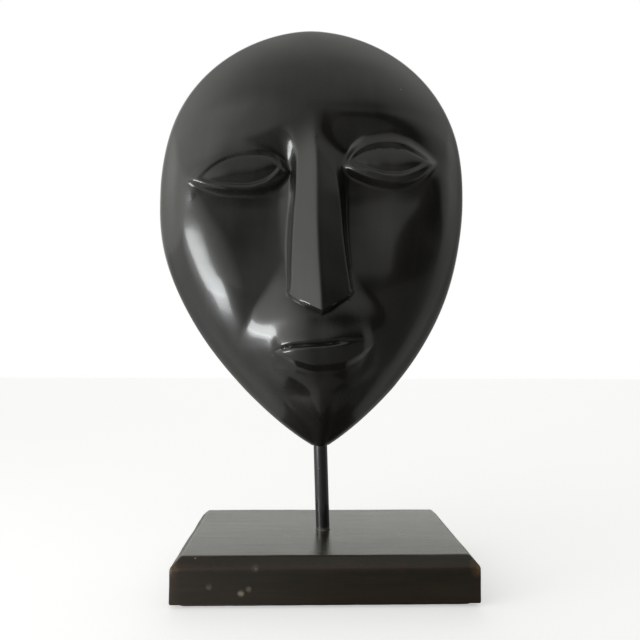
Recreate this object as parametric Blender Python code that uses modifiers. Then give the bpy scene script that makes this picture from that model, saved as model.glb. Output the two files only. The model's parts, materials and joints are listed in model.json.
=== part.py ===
"""Carved wooden mask on a rod stand, modelled as its separate pieces.

Frame: metres, +Z up, the mask looks along -Y, the origin is the centre of the underside of
the felt that the stand rests on. Everything on the rod leans with it, a little to -X.
"""

import math

import bmesh
import bpy
import numpy as np

MM = 0.001
SEAT_GAP = 0.3 * MM  # air between pieces that rest on or in each other

# Stand
BASE_WIDTH = 194 * MM
BASE_DEPTH = 128 * MM
BASE_THICKNESS = 28.2 * MM
BASE_CHAMFER = 6 * MM
BASE_EDGE_EASE = 1.2 * MM
FELT_THICKNESS = 1.5 * MM
FELT_INSET = 4 * MM
FELT_CORNER_RADIUS = 6 * MM
BASE_BOTTOM_Z = FELT_THICKNESS + SEAT_GAP
BASE_TOP_Z = BASE_BOTTOM_Z + BASE_THICKNESS

# Rod and the hardware on its lower end, measured along the rod from the base's top face
ROD_LEAN = math.radians(1.9)
ROD_RADIUS = 5 * MM
ROD_EXPOSED = 61 * MM
ROD_IN_MASK = 46 * MM
ROD_END_EASE = 1 * MM
SPIGOT_RADIUS = 3.9 * MM
SHOULDER_DEPTH = 7 * MM
RECESS_DEPTH = 14 * MM
RECESS_RADIUS = 14.5 * MM
WASHER_RADIUS = 12 * MM
WASHER_THICKNESS = 1.6 * MM
SPRING_WASHER_RADIUS = 7.4 * MM
SPRING_WASHER_THICKNESS = 2 * MM
SPRING_WASHER_SLIT = 1.2 * MM
NUT_ACROSS_FLATS = 13 * MM
NUT_HEIGHT = 6.5 * MM
NUT_TURN = math.radians(11)
SPIGOT_PAST_NUT = 1.5 * MM
HARDWARE_BORE_RADIUS = SPIGOT_RADIUS + SEAT_GAP
RECESS_ROOF_Z = -(BASE_THICKNESS - RECESS_DEPTH)

# Mask outline, in millimetres above the point where its two sides would meet
MASK_HALF_WIDTH = 113.4
MASK_HEIGHT = 314.0
MASK_WIDEST = 182.0
CHIN_CUT = 3.4
LOWER_POWERS = (2.0, 0.862)
UPPER_POWERS = (2.49, 0.544)

# Mask depths, in millimetres forward of its flat back
ROD_FORWARD = 13.5
SIDE_DEPTH = 14.0
ROLL_DEPTH = 16.0
ROLL_WIDTH = 20.0
DOME_DEPTH = 30.0
DOME_CENTRE = 165.0
DOME_REACH = (118.0, 150.0, 175.0)  # sideways, upward, downward
WALL = 19.0
HOLLOW_RIM = 13.0
HOLLOW_BANK = 15.0
HOLLOW_FOOT = 62.0

# Face, in the same millimetres
NOSE_ROOT = 200.0
NOSE_TIP = 97.0
NOSE_ROOT_DEPTH = 60.5
NOSE_SLOPE = 0.13
NOSE_MIDDLE = 2.5
NOSE_ROOF_SLOPE = 0.5
NOSE_EAVES = (21.0, 15.0)  # half width at the tip and at the root
EYE_MIDDLES = ((-53.5, 198.5), (54.0, 203.0))
EYE_TILTS = (0.0, math.radians(3))
EYE_HALF_SIZE = (39.0, 20.0)
EYE_OPENING_HALF_SIZE = (28.0, 11.0)
EYE_RAISED = 7.5
EYE_OPENING_SUNK = 2.0
MOUTH_LINE = 75.5
LIP_HALF_WIDTH = 34.0

# How the mask's surface is divided: a ball pressed into shape
MASK_AROUND = 72
MASK_ROWS = 60
FRONT_SHARE = 46 / 72
EDGE_SHARE = 4 / 72

WOOD_BLACK = (0.012, 0.011, 0.010)
WOOD_BROWN_BLACK = (0.022, 0.017, 0.013)
STEEL_BLACK = (0.02, 0.021, 0.022)
STEEL_ZINC = (0.45, 0.45, 0.44)
FELT_BLACK = (0.02, 0.02, 0.02)


# Scene helpers


def clear_scene():
    for item in list(bpy.data.objects):
        bpy.data.objects.remove(item)


def new_collection(name):
    collection = bpy.data.collections.new(name)
    bpy.context.scene.collection.children.link(collection)
    return collection


def new_material(name, colour, roughness, metallic=0.0):
    material = bpy.data.materials.new(name)
    material.use_nodes = True
    shader = material.node_tree.nodes["Principled BSDF"]
    shader.inputs["Base Color"].default_value = (*colour, 1.0)
    shader.inputs["Roughness"].default_value = roughness
    shader.inputs["Metallic"].default_value = metallic
    return material


def object_from(name, form, collection, parent=None):
    """A mesh object made of a bmesh, which is freed."""
    mesh = bpy.data.meshes.new(name)
    form.to_mesh(mesh)
    form.free()
    item = bpy.data.objects.new(name, mesh)
    collection.objects.link(item)
    item.parent = parent
    return item


def finish_piece(item, material):
    item.data.materials.append(material)
    item.data.shade_smooth()
    item.data.set_sharp_from_angle(angle=math.radians(35))


def as_cutter(item):
    item.hide_render = True
    item.display_type = "WIRE"
    return item


def cut(item, cutter, operation="DIFFERENCE"):
    modifier = item.modifiers.new(cutter.name, "BOOLEAN")
    modifier.operation = operation
    modifier.object = cutter


def turned(name, profile, collection, parent, steps=48, closed=False):
    """A turned piece: profile is (radius, height) down its outer side, spun round local Z."""
    form = bmesh.new()
    points = [form.verts.new((radius, 0, height)) for radius, height in profile]
    for first, second in zip(points, points[1:]):
        form.edges.new((first, second))
    if closed:
        form.edges.new((points[-1], points[0]))
    item = object_from(name, form, collection, parent)
    screw = item.modifiers.new("turn", "SCREW")
    screw.steps = steps
    screw.render_steps = steps
    screw.use_merge_vertices = True
    screw.merge_threshold = 0.01 * MM
    return item


def ring(name, inner, outer, top, thickness, collection, parent):
    bottom = top - thickness
    profile = [(outer, top), (outer, bottom), (inner, bottom), (inner, top)]
    return turned(name, profile, collection, parent, closed=True)


def box(name, size, centre, collection, parent=None):
    form = bmesh.new()
    bmesh.ops.create_cube(form, size=1)
    bmesh.ops.scale(form, vec=size, verts=form.verts)
    bmesh.ops.translate(form, vec=centre, verts=form.verts)
    return object_from(name, form, collection, parent)


# Stand


def bevel_edges(form, chosen, width, segments):
    edges = [edge for edge in form.edges if chosen(*(vert.co for vert in edge.verts))]
    bmesh.ops.bevel(form, geom=edges, offset=width, segments=segments, profile=0.5, affect="EDGES")


def upright(a, b):
    return abs(a.z - b.z) > abs(a.x - b.x) + abs(a.y - b.y)


def block(size, bottom):
    """A plain upright block, centred on the origin, as a bmesh still open for bevels."""
    form = bmesh.new()
    bmesh.ops.create_cube(form, size=1)
    bmesh.ops.scale(form, vec=size, verts=form.verts)
    bmesh.ops.translate(form, vec=(0, 0, bottom + size[2] / 2), verts=form.verts)
    return form


def make_base(pieces, cutters, stand_axis, material):
    form = block((BASE_WIDTH, BASE_DEPTH, BASE_THICKNESS), BASE_BOTTOM_Z)

    def round_top(a, b):
        return min(a.z, b.z) > BASE_TOP_Z - 0.001 * MM

    def any_edge(a, b):
        return True

    bevel_edges(form, round_top, BASE_CHAMFER, 1)
    bevel_edges(form, any_edge, BASE_EDGE_EASE, 2)
    base = object_from("base", form, pieces)
    overshoot = 4 * MM
    bore = [
        (0, overshoot),
        (ROD_RADIUS + SEAT_GAP, overshoot),
        (ROD_RADIUS + SEAT_GAP, -SHOULDER_DEPTH - SEAT_GAP),
        (HARDWARE_BORE_RADIUS, -SHOULDER_DEPTH - SEAT_GAP),
        (HARDWARE_BORE_RADIUS, RECESS_ROOF_Z),
        (RECESS_RADIUS, RECESS_ROOF_Z),
        (RECESS_RADIUS, -BASE_THICKNESS - overshoot),
        (0, -BASE_THICKNESS - overshoot),
    ]
    cut(base, as_cutter(turned("base_bore", bore, cutters, stand_axis)))
    finish_piece(base, material)


def make_felt(pieces, material):
    width = BASE_WIDTH - 2 * FELT_INSET
    depth = BASE_DEPTH - 2 * FELT_INSET
    form = block((width, depth, FELT_THICKNESS), 0)
    bevel_edges(form, upright, FELT_CORNER_RADIUS, 4)
    finish_piece(object_from("felt_pad", form, pieces), material)


def make_rod(pieces, parent, material):
    top = ROD_EXPOSED + ROD_IN_MASK
    foot = RECESS_ROOF_Z - hardware_height() - SPIGOT_PAST_NUT
    profile = [
        (0, top),
        (ROD_RADIUS - ROD_END_EASE, top),
        (ROD_RADIUS, top - ROD_END_EASE),
        (ROD_RADIUS, -SHOULDER_DEPTH),
        (SPIGOT_RADIUS, -SHOULDER_DEPTH),
        (SPIGOT_RADIUS, foot + ROD_END_EASE / 2),
        (SPIGOT_RADIUS - ROD_END_EASE / 2, foot),
        (0, foot),
    ]
    finish_piece(turned("rod", profile, pieces, parent), material)


def hardware_height():
    return WASHER_THICKNESS + SPRING_WASHER_THICKNESS + NUT_HEIGHT + 3 * SEAT_GAP


def make_washers(pieces, cutters, parent, material):
    top = RECESS_ROOF_Z - SEAT_GAP
    washer = ring(
        "washer", HARDWARE_BORE_RADIUS, WASHER_RADIUS, top, WASHER_THICKNESS, pieces, parent
    )
    finish_piece(washer, material)
    top -= WASHER_THICKNESS + SEAT_GAP
    spring_washer = ring(
        "spring_washer",
        HARDWARE_BORE_RADIUS,
        SPRING_WASHER_RADIUS,
        top,
        SPRING_WASHER_THICKNESS,
        pieces,
        parent,
    )
    middle = top - SPRING_WASHER_THICKNESS / 2
    size = (2 * SPRING_WASHER_RADIUS, SPRING_WASHER_SLIT, 4 * SPRING_WASHER_THICKNESS)
    slit = box("spring_washer_slit", size, (SPRING_WASHER_RADIUS, 0, 0), cutters, parent)
    slit.location = (0, 0, middle)
    slit.rotation_euler = (math.radians(25), 0, math.radians(-90))
    cut(spring_washer, as_cutter(slit))
    finish_piece(spring_washer, material)
    return top - SPRING_WASHER_THICKNESS - SEAT_GAP


def make_nut(top, pieces, cutters, parent, material):
    corner_radius = NUT_ACROSS_FLATS / 2 / math.cos(math.pi / 6)
    form = bmesh.new()
    bmesh.ops.create_cone(
        form,
        cap_ends=True,
        segments=6,
        radius1=corner_radius,
        radius2=corner_radius,
        depth=NUT_HEIGHT,
    )
    nut = object_from("hex_nut", form, pieces, parent)
    nut.location = (0, 0, top - NUT_HEIGHT / 2)
    nut.rotation_euler = (0, 0, NUT_TURN)
    ease = 0.6 * MM
    flat_radius = NUT_ACROSS_FLATS / 2
    bottom = top - NUT_HEIGHT
    proud = 1 * MM
    dome = [
        (0, top + proud),
        (flat_radius - ease - proud, top + proud),
        (corner_radius + proud, top - ease - proud),
        (corner_radius + proud, bottom + ease + proud),
        (flat_radius - ease - proud, bottom - proud),
        (0, bottom - proud),
    ]
    cut(nut, as_cutter(turned("nut_corners", dome, cutters, parent)), "INTERSECT")
    bore = [
        (0, top + proud),
        (HARDWARE_BORE_RADIUS, top + proud),
        (HARDWARE_BORE_RADIUS, bottom - proud),
        (0, bottom - proud),
    ]
    cut(nut, as_cutter(turned("nut_bore", bore, cutters, parent)))
    finish_piece(nut, material)


# Mask


def smooth_step(t):
    t = np.clip(t, 0, 1)
    return t * t * (3 - 2 * t)


def soft_min(a, b, blend):
    share = np.clip(0.5 + 0.5 * (b - a) / blend, 0, 1)
    return b + (a - b) * share - blend * share * (1 - share)


def soft_max(a, b, blend):
    return -soft_min(-a, -b, blend)


def half_width(up):
    """The outline's half width at each height, in millimetres."""
    low_power, low_root = LOWER_POWERS
    high_power, high_root = UPPER_POWERS
    below = np.clip((MASK_WIDEST - up) / MASK_WIDEST, 0, 1)
    above = np.clip((up - MASK_WIDEST) / (MASK_HEIGHT - MASK_WIDEST), 0, 1)
    lower = (1 - below**low_power) ** low_root
    upper = (1 - above**high_power) ** high_root
    return MASK_HALF_WIDTH * np.where(up < MASK_WIDEST, lower, upper)


def outline(count=240):
    """Points round the whole outline, as (across, up), closely spaced at the two ends."""
    up = MASK_HEIGHT * (1 - np.cos(np.linspace(0, math.pi, count))) / 2
    across = half_width(up)
    right = np.stack([across, up], axis=1)
    left = np.stack([-across[::-1], up[::-1]], axis=1)
    return np.concatenate([right, left[1:-1]])


def distance_from_outline(across, up, edge):
    """How far each point lies inside the outline, whose points are joined by straight lines."""
    points = np.stack([across, up], axis=1)[:, None, :]
    start = edge[None, :, :]
    run = np.roll(edge, -1, axis=0)[None, :, :] - start
    share = ((points - start) * run).sum(axis=2) / (run**2).sum(axis=2)
    nearest = start + np.clip(share, 0, 1)[:, :, None] * run
    return np.sqrt(((points - nearest) ** 2).sum(axis=2).min(axis=1))


def dome(across, up, inside):
    """The plain cushion that the face is carved from: forward of the back, in millimetres."""
    sideways, upward, downward = DOME_REACH
    reach = np.where(up > DOME_CENTRE, upward, downward)
    spread = (across / sideways) ** 2 + ((up - DOME_CENTRE) / reach) ** 2
    roll = ROLL_DEPTH * np.sqrt(1 - (1 - np.clip(inside / ROLL_WIDTH, 0, 1)) ** 2)
    rise = 1 - np.exp(-inside / 22)
    return SIDE_DEPTH + roll + DOME_DEPTH * np.clip(1 - spread, 0, 1) * rise


def brow_recess(across, up):
    """How far the eye sockets and the cheeks beside the nose lie below the forehead."""
    out = np.abs(across)
    brow_line = 232 - 14 * np.exp(-out / 6) - 14 * (np.clip(out - 40, 0, None) / 60) ** 2
    below_brow = smooth_step((brow_line - up) / 18)
    depth = 12 * np.exp(-((np.clip(out - 20, 0, None) / 54) ** 2))
    return depth * below_brow * smooth_step((up - 80) / 100)


def almond(across, up, middle, half_size, tilt, raised):
    """A raised form with two pointed ends, tilted in the plane of the face."""
    right, high = across - middle[0], up - middle[1]
    along = right * math.cos(tilt) + high * math.sin(tilt)
    over = high * math.cos(tilt) - right * math.sin(tilt)
    arch = np.clip(1 - (along / half_size[0]) ** 2, 0.001, 1)
    share = np.clip(1 - (over / (half_size[1] * arch)) ** 2, 0, 1)
    return raised * share * np.sqrt(arch)


def eyes(across, up):
    """Two carved lids, each with a shallower almond for its closed eye."""
    total = 0
    for middle, tilt in zip(EYE_MIDDLES, EYE_TILTS):
        lid = almond(across, up, middle, EYE_HALF_SIZE, tilt, EYE_RAISED)
        opening = almond(across, up, middle, EYE_OPENING_HALF_SIZE, tilt, EYE_OPENING_SUNK)
        total = total + lid - opening
    return total


def nose(across, up):
    """The wedge of the nose: two roof planes, steep walls and a V-shaped underside."""
    ridge_line = NOSE_ROOT_DEPTH + (NOSE_ROOT - up) * NOSE_SLOPE
    out = np.sqrt((across - NOSE_MIDDLE) ** 2 + 4) - 2
    eave = np.interp(up, [NOSE_TIP, NOSE_ROOT], NOSE_EAVES)
    roof = ridge_line - NOSE_ROOF_SLOPE * out
    wall = ridge_line - NOSE_ROOF_SLOPE * eave - 2.6 * (out - eave)
    underside = ridge_line + 4 * (up - NOSE_TIP - 0.8 * out)
    top_fade = 60 * smooth_step((up - NOSE_ROOT) / 50)
    return soft_min(soft_min(roof, wall, 2), underside, 2) - top_fade


def muzzle(across, up):
    """The mouth and chin form, which stands forward of the cheeks."""
    heights = [0, 15, 30, 45, 60, 76, 90, 105]
    forward = np.interp(up, heights, [21, 32, 42, 49, 55, 60.5, 61.5, 54])
    reach = np.interp(up, heights, [5, 11, 19, 27, 34, 37, 32, 24])
    return forward - 12 * (across / reach) ** 2 - 60 * smooth_step((up - 100) / 60)


def lips(across, up):
    """A parting between two full lips, with a hollow below the lower one."""
    share = np.clip(1 - (across / LIP_HALF_WIDTH) ** 2, 0, 1)
    swell = np.exp(-(((up - MOUTH_LINE) / 13) ** 2))
    parting = np.exp(-(((up - MOUTH_LINE) / 3) ** 2))
    below = np.exp(-(((up - MOUTH_LINE + 24) / 6) ** 2))
    return share * (4 * swell - 3 * parting - 2.5 * below)


def face_depth(across, up, inside):
    """The carved front: forward of the mask's back, in millimetres."""
    cheeks = dome(across, up, inside) - brow_recess(across, up)
    face = soft_max(cheeks, muzzle(across, up), 5)
    face = face + smooth_step(inside / 12) * (eyes(across, up) + lips(across, up))
    return soft_max(face, nose(across, up), 3)


def hollow_depth(across, up, inside):
    """How far the back is gouged out, leaving a wall behind the face and a solid chin."""
    plain = dome(across, up, inside) - WALL
    bank = 1.5 * (inside - HOLLOW_RIM)
    foot = 1.2 * (up - HOLLOW_FOOT - 0.004 * across**2)
    return np.clip(soft_min(soft_min(plain, bank, HOLLOW_BANK), foot, HOLLOW_BANK), 0, None)


def pressed_into_mask(directions):
    """Where each direction of a unit ball goes on the mask: (across, back, up) in mm.

    The ball's poles go to the crown and the chin, the meridians that face forward spread
    over the face, the ones at the sides make the edge, and the rest line the hollow back.
    """
    edge = outline()
    climb = 1 - np.arccos(np.clip(directions[:, 2], -1, 1)) / math.pi
    up = MASK_HEIGHT * (0.5 * climb + 0.25 * (1 + directions[:, 2]))
    meridian = np.arctan2(directions[:, 0], -directions[:, 1])
    turn = np.abs(meridian) / math.pi
    to_edge = np.clip(turn / FRONT_SHARE, 0, 1)
    round_edge = np.clip((turn - FRONT_SHARE) / EDGE_SHARE, 0, 1)
    to_back_middle = np.clip((turn - FRONT_SHARE - EDGE_SHARE) / (1 - FRONT_SHARE - EDGE_SHARE), 0, 1)
    spread = np.where(turn < FRONT_SHARE, 0.6 * to_edge + 0.4 * to_edge**2, 1 - to_back_middle)
    across = np.sign(meridian) * half_width(up) * spread
    inside = distance_from_outline(across, up, edge)
    front = face_depth(across, up, inside)
    back = hollow_depth(across, up, inside)
    side = SIDE_DEPTH * (1 - round_edge)
    forward = np.where(turn < FRONT_SHARE, front, np.where(to_back_middle > 0, back, side))
    at_pole = np.hypot(directions[:, 0], directions[:, 1]) < 0.001
    forward = np.where(at_pole, SIDE_DEPTH / 2, forward)
    return np.stack([across, ROD_FORWARD - forward, up - CHIN_CUT], axis=1)


def make_mask(pieces, cutters, parent, material):
    form = bmesh.new()
    bmesh.ops.create_uvsphere(form, u_segments=MASK_AROUND, v_segments=MASK_ROWS, radius=1)
    points = pressed_into_mask(np.array([vert.co for vert in form.verts])) * MM
    for vert, point in zip(form.verts, points):
        vert.co = point
    bmesh.ops.recalc_face_normals(form, faces=form.faces)
    mask = object_from("mask", form, pieces, parent)
    mask.location = (0, 0, ROD_EXPOSED)
    below = box("chin_cut", (0.06, 0.08, 0.03), (0, 0, -0.015), cutters, parent)
    below.location = mask.location
    cut(mask, as_cutter(below))
    socket = [
        (0, ROD_IN_MASK + SEAT_GAP),
        (ROD_RADIUS + SEAT_GAP, ROD_IN_MASK + SEAT_GAP),
        (ROD_RADIUS + SEAT_GAP, -10 * MM),
        (0, -10 * MM),
    ]
    rod_socket = as_cutter(turned("rod_socket", socket, cutters, parent))
    rod_socket.location = mask.location
    cut(mask, rod_socket)
    finish_piece(mask, material)


def main():
    clear_scene()
    pieces = new_collection("carved_mask_on_stand")
    cutters = new_collection("cutters")
    stand_axis = bpy.data.objects.new("stand_axis", None)
    stand_axis.location = (0, 0, BASE_TOP_Z)
    stand_axis.rotation_euler = (0, -ROD_LEAN, 0)
    pieces.objects.link(stand_axis)
    polished = new_material("polished_black_wood", WOOD_BLACK, 0.22)
    stained = new_material("stained_brown_black_wood", WOOD_BROWN_BLACK, 0.4)
    blackened = new_material("blackened_steel", STEEL_BLACK, 0.35, 0.6)
    zinc = new_material("zinc_plated_steel", STEEL_ZINC, 0.35, 1.0)
    felt = new_material("black_felt", FELT_BLACK, 0.95)
    make_felt(pieces, felt)
    make_base(pieces, cutters, stand_axis, stained)
    make_rod(pieces, stand_axis, blackened)
    nut_top = make_washers(pieces, cutters, stand_axis, zinc)
    make_nut(nut_top, pieces, cutters, stand_axis, zinc)
    make_mask(pieces, cutters, stand_axis, polished)


main()
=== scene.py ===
import json
import math

import bmesh
import bpy
import numpy as np
from mathutils import Matrix, Vector, noise


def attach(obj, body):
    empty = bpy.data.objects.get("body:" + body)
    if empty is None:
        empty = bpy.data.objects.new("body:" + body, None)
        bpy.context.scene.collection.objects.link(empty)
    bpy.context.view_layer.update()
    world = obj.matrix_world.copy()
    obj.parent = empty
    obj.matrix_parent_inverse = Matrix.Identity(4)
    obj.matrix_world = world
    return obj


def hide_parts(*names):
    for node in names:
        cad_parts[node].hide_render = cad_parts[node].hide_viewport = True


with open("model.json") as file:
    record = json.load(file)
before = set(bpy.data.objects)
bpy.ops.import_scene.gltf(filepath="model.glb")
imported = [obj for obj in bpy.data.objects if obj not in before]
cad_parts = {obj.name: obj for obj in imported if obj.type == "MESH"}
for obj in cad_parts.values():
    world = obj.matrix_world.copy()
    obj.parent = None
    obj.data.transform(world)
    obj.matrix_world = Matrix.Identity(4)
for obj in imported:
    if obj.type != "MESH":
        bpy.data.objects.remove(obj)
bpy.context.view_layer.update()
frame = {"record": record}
mm = 0.001

joints = {joint["name"]: joint for joint in frame["record"]["behaviour"]["joints"]}
standFoot = Vector(joints["rod_swivel"]["pos_m"])
rodDirection = Vector(joints["rod_swivel"]["axis"]).normalized()
leanTurn = Vector((0, 0, 1)).rotation_difference(rodDirection).to_matrix().to_4x4()
standFrame = Matrix.Translation(standFoot) @ leanTurn


def smoothStep(t):
    t = np.clip(t, 0, 1)
    return t * t * (3 - 2 * t)


def softMin(a, b, blend):
    share = np.clip(0.5 + 0.5 * (b - a) / blend, 0, 1)
    return b + (a - b) * share - blend * share * (1 - share)


def softMax(a, b, blend):
    return -softMin(-a, -b, blend)


def curveThrough(points, at):
    # a smooth curve through a few points, which never swings past them
    x, y = (np.array(values, float) for values in zip(*points))
    step, rise = np.diff(x), np.diff(y)
    slope = rise / step
    both = slope[:-1] * slope[1:]
    total = np.where(both > 0, slope[:-1] + slope[1:], 1)
    middle = np.where(both > 0, 2 * both / total, 0)
    tangent = np.concatenate([slope[:1], middle, slope[-1:]])
    at = np.clip(at, x[0], x[-1])
    k = np.clip(np.searchsorted(x, at) - 1, 0, len(step) - 1)
    t = (at - x[k]) / step[k]
    start = y[k] * (1 + 2 * t) * (1 - t) ** 2 + tangent[k] * step[k] * t * (1 - t) ** 2
    end = y[k + 1] * t**2 * (3 - 2 * t) + tangent[k + 1] * step[k] * t**2 * (t - 1)
    return start + end


def newTree(name, kind, inputs, outputs):
    # each socket is given by its starting value, or by a word for what it carries
    tree = bpy.data.node_groups.new(name, kind)
    for direction, sockets in (("INPUT", inputs), ("OUTPUT", outputs)):
        for label, value in sockets.items():
            carries = value if isinstance(value, str) else "Int" if isinstance(value, int) else "Float"
            kindName = "NodeSocket" + carries
            socket = tree.interface.new_socket(name=label, in_out=direction, socket_type=kindName)
            if carries != value:
                socket.default_value = value
    tree.nodes.new("NodeGroupInput").name = "in"
    tree.nodes.new("NodeGroupOutput").name = "out"
    return tree


def fill(tree, node, values):
    # feeds inputs with sockets or plain values; an underscore stands for a space, and i0 is the first input
    for label, value in values.items():
        socket = node.inputs[int(label[1:])] if label[1:].isdigit() else node.inputs[label.replace("_", " ")]
        if isinstance(value, bpy.types.NodeSocket):
            tree.links.new(value, socket)
        else:
            socket.default_value = value


def put(tree, kind, settings=None, **values):
    node = tree.nodes.new(kind)
    for key, value in (settings or {}).items():
        setattr(node, key, value)
    fill(tree, node, values)
    return node


def calc(tree, operation, *values):
    numbered = {f"i{k}": value for k, value in enumerate(values)}
    return put(tree, "ShaderNodeMath", {"operation": operation}, **numbered).outputs[0]


def addUp(tree, base, *parts):
    # the base plus each value times its weight
    for value, weight in parts:
        base = calc(tree, "MULTIPLY_ADD", value, weight, base)
    return base


def held(tree, value):
    # held between 0 and 1
    return calc(tree, "MINIMUM", calc(tree, "MAXIMUM", value, 0.0), 1.0)


def newObject(name, data):
    item = bpy.data.objects.new(name, data)
    bpy.context.scene.collection.objects.link(item)
    return item


def growMesh(name, tree, values, material):
    # runs a tree on an empty mesh and keeps the result as a plain mesh
    seed = newObject(name + "Seed", bpy.data.meshes.new(name + "Seed"))
    modifier = seed.modifiers.new("grow", "NODES")
    modifier.node_group = tree
    sockets = {item.name: item.identifier for item in tree.interface.items_tree if item.in_out == "INPUT"}
    for label, value in {**values, "Finish": material}.items():
        modifier[sockets[label]] = value
    graph = bpy.context.evaluated_depsgraph_get()
    mesh = bpy.data.meshes.new_from_object(seed.evaluated_get(graph))
    seed.modifiers.remove(modifier)
    bpy.data.objects.remove(seed)
    mesh.name = name
    return mesh


def endTree(tree, geometry):
    group = tree.nodes["in"]
    real = put(tree, "GeometryNodeRealizeInstances", i0=geometry)
    finish = put(tree, "GeometryNodeSetMaterial", Geometry=real.outputs[0], Material=group.outputs["Finish"])
    tree.links.new(finish.outputs[0], tree.nodes["out"].inputs[0])


def addPiece(name, mesh, body, slot, *replaced):
    piece = newObject(name, mesh)
    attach(piece, body)
    if replaced:
        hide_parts(*replaced)
    return piece


def formOf(mesh):
    form = bmesh.new()
    form.from_mesh(mesh)
    return form


def meshOf(form, name, material, sharpAngle=30):
    mesh = bpy.data.meshes.new(name)
    form.to_mesh(mesh)
    form.free()
    mesh.materials.append(material)
    mesh.shade_smooth()
    mesh.set_sharp_from_angle(angle=math.radians(sharpAngle))
    return mesh


def turnedForm(profile, steps=96):
    # spins (radius, height) points in mm, listed down the outer side, round the local Z axis
    form = bmesh.new()
    ring = [form.verts.new((radius * mm, 0, height * mm)) for radius, height in profile]
    edges = [form.edges.new(pair) for pair in zip(ring, ring[1:])]
    bmesh.ops.spin(form, geom=ring + edges, cent=(0, 0, 0), axis=(0, 0, 1), angle=2 * math.pi, steps=steps)
    bmesh.ops.remove_doubles(form, verts=form.verts, dist=0.005 * mm)
    bmesh.ops.recalc_face_normals(form, faces=form.faces)
    return form


maskShape = dict(
    rodExposed=61.0,  # from the base's top to the chin
    halfWidth=113.4,
    height=314.0,
    widest=182.0,
    drift=((0, 0), (45, 1.3), (95, 0.2), (150, -1.5), (195, -0.3), (235, 0.6), (314, 0.6)),
    chinCut=3.4,
    lowerPowers=(2.0, 0.862),
    upperPowers=(2.49, 0.544),
    rodForward=13.5,  # from the flat back to the rod's middle
    side=14.0,
    edgeRound=4.0,
    bandSlope=0.95,
    rows=318,
    around=280,
    frontShare=216 / 280,
    edgeShare=6 / 280,
    wall=19.0,
    hollowRim=13.0,
    hollowFoot=62.0,
    bankSlope=1.5,
    footSlope=1.2,
    footCurve=0.004,
    hollowBlend=15,
    hollowLip=6,
    socketDepth=46.3,
    socketRadius=5.3,
)


def maskBlankTree():
    # a ball pressed to the mask's outline: flat behind, its front meridians spread over the face
    inputs = {"Half Width": 0.1, "Height": 0.3, "Widest": 0.2, "Lower Power": 2.0, "Lower Root": 1.0,
              "Upper Power": 2.0, "Upper Root": 0.5, "Side": 0.01, "Front Share": 0.7, "Edge Share": 0.02,
              "Around": 64, "Rows": 64, "Finish": "Material"}
    tree = newTree("maskBlank", "GeometryNodeTree", inputs, {"Geometry": "Geometry"})
    given = tree.nodes["in"].outputs
    ball = put(tree, "GeometryNodeMeshUVSphere", Segments=given["Around"], Rings=given["Rows"], Radius=1.0)
    place = put(tree, "ShaderNodeSeparateXYZ", i0=put(tree, "GeometryNodeInputPosition").outputs[0])
    x, y, z = place.outputs
    climb = calc(tree, "SUBTRACT", 1.0, calc(tree, "DIVIDE", calc(tree, "ARCCOSINE", z), math.pi))
    up = calc(tree, "MULTIPLY_ADD", climb, 0.75, calc(tree, "MULTIPLY_ADD", z, 0.125, 0.125))
    up = calc(tree, "MULTIPLY", up, given["Height"])
    above = calc(tree, "SUBTRACT", up, given["Widest"])
    crown = calc(tree, "SUBTRACT", given["Height"], given["Widest"])

    def side(distance, span, power, root):
        share = held(tree, calc(tree, "DIVIDE", distance, span))
        rest = calc(tree, "MAXIMUM", calc(tree, "SUBTRACT", 1.0, calc(tree, "POWER", share, power)), 0.0)
        return calc(tree, "POWER", rest, root)

    upper = side(above, crown, given["Upper Power"], given["Upper Root"])
    below = calc(tree, "MULTIPLY", above, -1.0)
    lower = side(below, given["Widest"], given["Lower Power"], given["Lower Root"])
    reach = calc(tree, "MULTIPLY", calc(tree, "MULTIPLY", upper, lower), given["Half Width"])
    meridian = calc(tree, "ARCTAN2", x, calc(tree, "MULTIPLY", y, -1.0))
    turn = calc(tree, "DIVIDE", calc(tree, "ABSOLUTE", meridian), math.pi)
    toEdge = calc(tree, "DIVIDE", turn, given["Front Share"])
    pastFront = calc(tree, "SUBTRACT", turn, given["Front Share"])
    roundEdge = calc(tree, "DIVIDE", pastFront, given["Edge Share"])
    backSpan = calc(tree, "SUBTRACT", calc(tree, "SUBTRACT", 1.0, given["Front Share"]), given["Edge Share"])
    toMiddle = calc(tree, "DIVIDE", calc(tree, "SUBTRACT", pastFront, given["Edge Share"]), backSpan)
    toMiddle = held(tree, toMiddle)
    spread = calc(tree, "MINIMUM", toEdge, calc(tree, "SUBTRACT", 1.0, toMiddle))
    across = calc(tree, "MULTIPLY", calc(tree, "MULTIPLY", calc(tree, "SIGN", meridian), reach), spread)
    flat = calc(tree, "SUBTRACT", 1.0, held(tree, roundEdge))
    depth = calc(tree, "MULTIPLY", flat, given["Side"])
    target = put(tree, "ShaderNodeCombineXYZ", i0=across, i1=calc(tree, "MULTIPLY", depth, -1.0), i2=up)
    zone = ball
    for label, value in (("toEdge", toEdge), ("toMiddle", toMiddle)):
        zone = put(tree, "GeometryNodeStoreNamedAttribute", {"data_type": "FLOAT", "domain": "POINT"},
                   Geometry=zone.outputs[0], Name=label, Value=value)
    placed = put(tree, "GeometryNodeSetPosition", Geometry=zone.outputs[0], Position=target.outputs[0])
    endTree(tree, placed.outputs[0])
    return tree


def halfWidth(up):
    m = maskShape
    below = np.clip((m["widest"] - up) / m["widest"], 0, 1)
    above = np.clip((up - m["widest"]) / (m["height"] - m["widest"]), 0, 1)
    lower = (1 - below ** m["lowerPowers"][0]) ** m["lowerPowers"][1]
    upper = (1 - above ** m["upperPowers"][0]) ** m["upperPowers"][1]
    return m["halfWidth"] * lower * upper


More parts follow.
